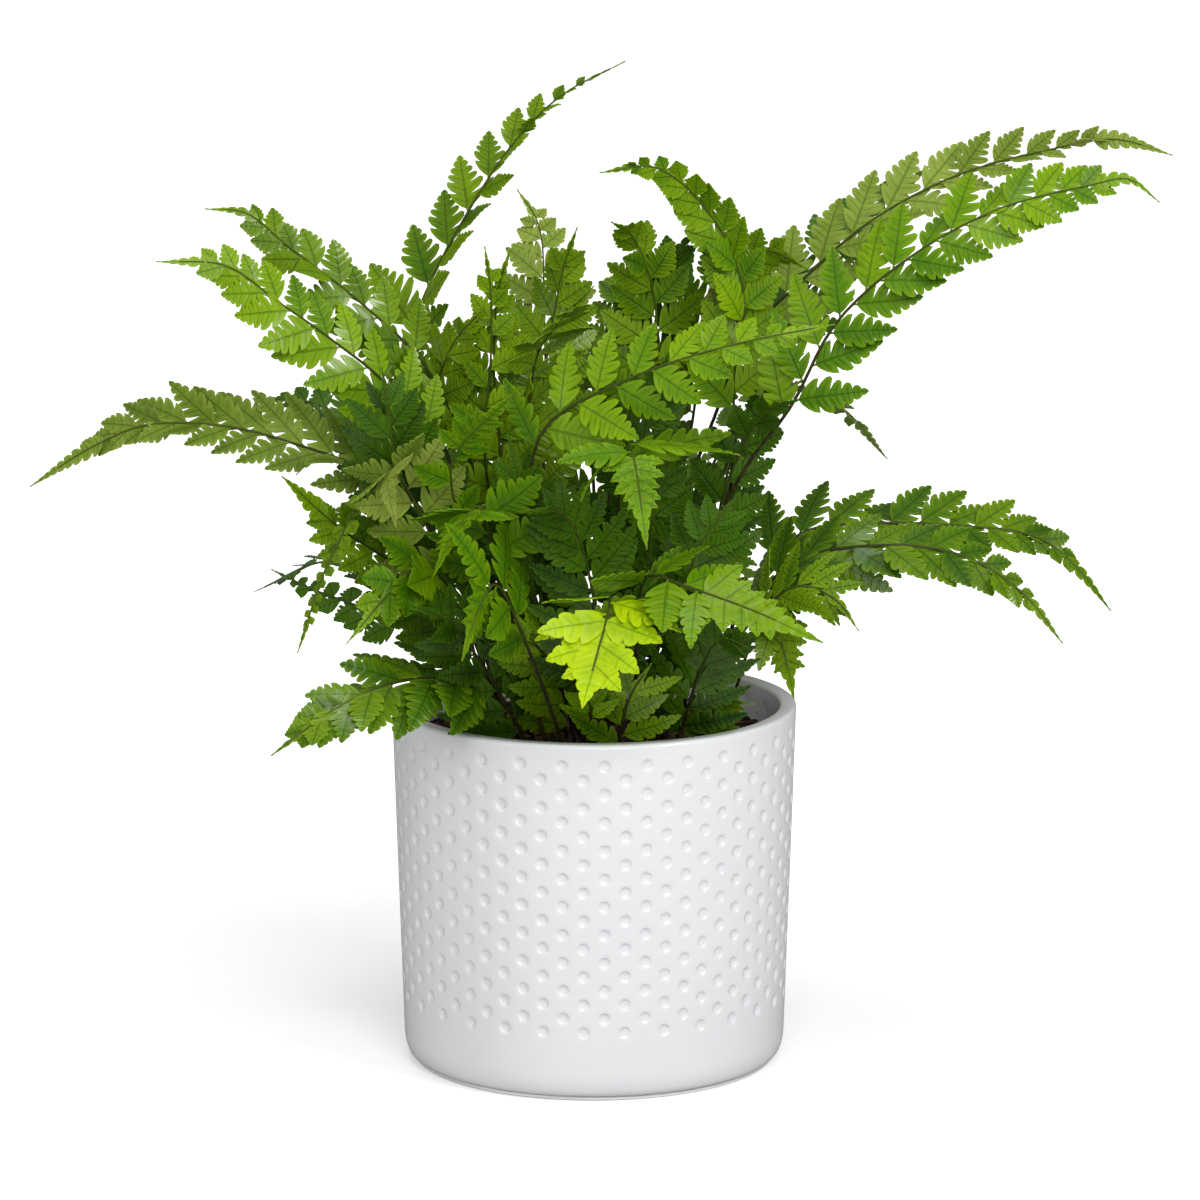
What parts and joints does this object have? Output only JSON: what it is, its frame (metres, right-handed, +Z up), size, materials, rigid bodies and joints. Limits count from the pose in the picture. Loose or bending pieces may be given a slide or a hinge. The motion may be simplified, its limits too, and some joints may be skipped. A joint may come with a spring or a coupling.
{
  "type": "potted fern",
  "caption": "Leafy fern with arching lacy fronds, growing in soil in a round white glazed pot whose wall has a net of small dimples.",
  "frame": {"origin": "middle of the pot's foot, on the surface that it stands on", "axes": "+Z up along the pot's axis, +Y away from the viewer of the fuller front side"},
  "size_m": [0.4024, 0.2525, 0.3591],
  "materials": {
    "glazed_pot": "smooth white glaze with a soft gloss",
    "potting_soil": "moist dark peat and bark, crumbly and matt",
    "leaf_deep": "deep green older leaf, low sheen",
    "leaf_mid": "mid green leaf, low sheen",
    "leaf_fresh": "fresh green young leaf, low sheen",
    "leaf_olive": "greyish olive leaf, matt",
    "leaf_gold": "yellow-green new leaf, low sheen"
  },
  "bodies": {
    "root": {"pot": "glazed_pot", "soil": "potting_soil", "frond_tall_left": "leaf_mid", "frond_left_high_fore": "leaf_mid", "frond_left_high_rear": "leaf_fresh", "frond_left_long": "leaf_olive", "frond_left_behind": "leaf_deep", "frond_left_hanging": "leaf_mid", "frond_left_mid": "leaf_mid", "frond_left_low_tail": "leaf_deep", "frond_left_low_broad": "leaf_fresh", "frond_left_bottom": "leaf_mid", "frond_front_gold": "leaf_gold", "frond_front_upper": "leaf_fresh", "frond_front_left_upper": "leaf_fresh", "frond_front_left_hang": "leaf_fresh", "frond_front_centre_low": "leaf_fresh", "frond_olive_left": "leaf_olive", "frond_front_right": "leaf_fresh", "frond_right_low_fore": "leaf_mid", "frond_right_low_rear": "leaf_mid", "frond_right_edge_hang": "leaf_mid", "frond_right_low_hang": "leaf_mid", "frond_soil_front_right": "leaf_mid", "frond_soil_right": "leaf_mid", "frond_soil_front_left": "leaf_fresh", "frond_right_top_long": "leaf_olive", "frond_right_second": "leaf_fresh", "frond_right_behind": "leaf_deep", "frond_top_arch": "leaf_fresh", "frond_top_dark": "leaf_olive", "frond_centre_upper": "leaf_mid", "frond_front_right_upper": "leaf_fresh", "frond_centre_top_fore": "leaf_mid", "frond_dark_mid_left": "leaf_deep", "frond_centre_top_rear": "leaf_mid", "frond_top_fill_left": "leaf_mid", "frond_top_fill_right": "leaf_deep", "frond_dark_mid_right": "leaf_deep", "frond_right_fill": "leaf_deep", "frond_centre_left_top": "leaf_mid", "frond_centre_left_fore": "leaf_mid", "frond_sprig_left": "leaf_fresh", "frond_centre_dark": "leaf_deep", "frond_inner_left": "leaf_deep", "frond_inner_right": "leaf_deep", "frond_inner_front": "leaf_deep", "frond_inner_middle": "leaf_deep", "frond_inner_high": "leaf_deep", "frond_inner_low": "leaf_mid", "frond_rim_right": "leaf_deep", "frond_rim_left": "leaf_deep", "frond_back_middle": "leaf_mid", "frond_back_left": "leaf_mid", "frond_back_right": "leaf_mid", "frond_back_low_left": "leaf_fresh", "frond_back_low_right": "leaf_fresh", "frond_back_far_left": "leaf_deep", "frond_back_far_right": "leaf_deep", "frond_back_upright": "leaf_mid"}
  },
  "joints": []
}
